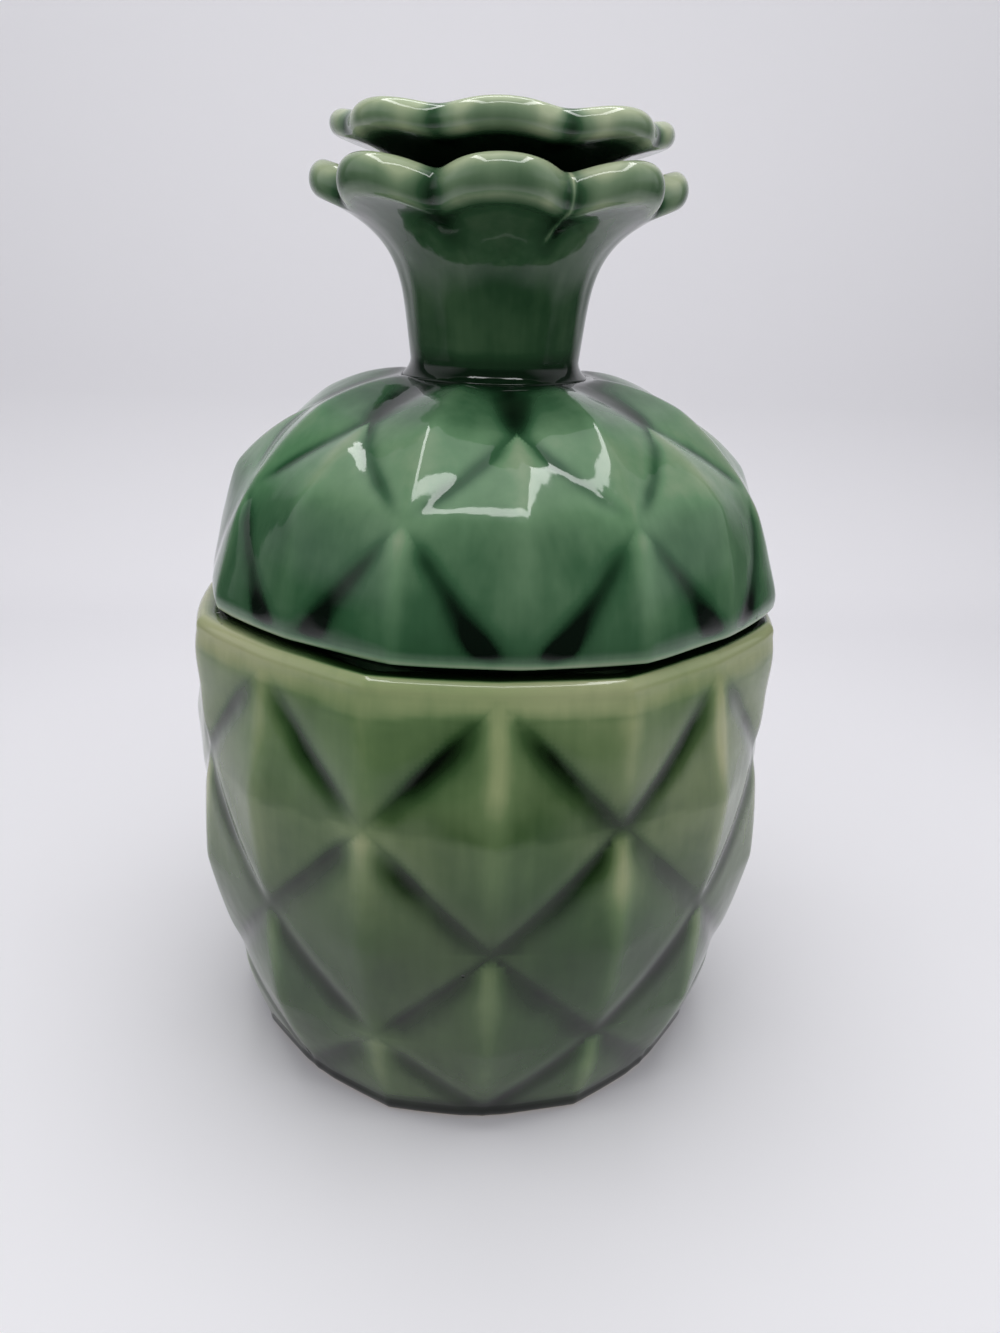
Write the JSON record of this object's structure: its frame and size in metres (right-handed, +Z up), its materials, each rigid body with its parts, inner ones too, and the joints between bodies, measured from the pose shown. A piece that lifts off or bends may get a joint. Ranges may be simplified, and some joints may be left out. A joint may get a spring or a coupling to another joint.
{
  "type": "lidded jar",
  "caption": "Octagonal glazed earthenware jar moulded with folded diamonds like a pineapple, with a lift-off domed lid whose flared neck and scalloped leaf tiers form the handle.",
  "frame": {"origin": "middle of the foot, on the surface that the jar stands on", "axes": "+Z up along the jar's axis; -Y points out of the flat side of the rim that faces the viewer; +X to the viewer's right"},
  "size_m": [0.1686, 0.1686, 0.2541],
  "materials": {
    "jar_glaze": "glossy olive green glaze, dark where it pools in the grooves, pale on the rim",
    "lid_glaze": "glossy bluish green glaze, near black where it pools",
    "crown_glaze": "glossy dark green glaze with paler leaf edges"
  },
  "bodies": {
    "jar": {"jar_body": "jar_glaze"},
    "lid": {"lid_dome": "lid_glaze", "crown_neck": "crown_glaze", "crown_top": "crown_glaze"}
  },
  "joints": [
    {"name": "lid_lift", "type": "slide", "parent": "jar", "child": "lid", "axis": [0, 0, 1], "range_m": [0, 0.12]}
  ]
}
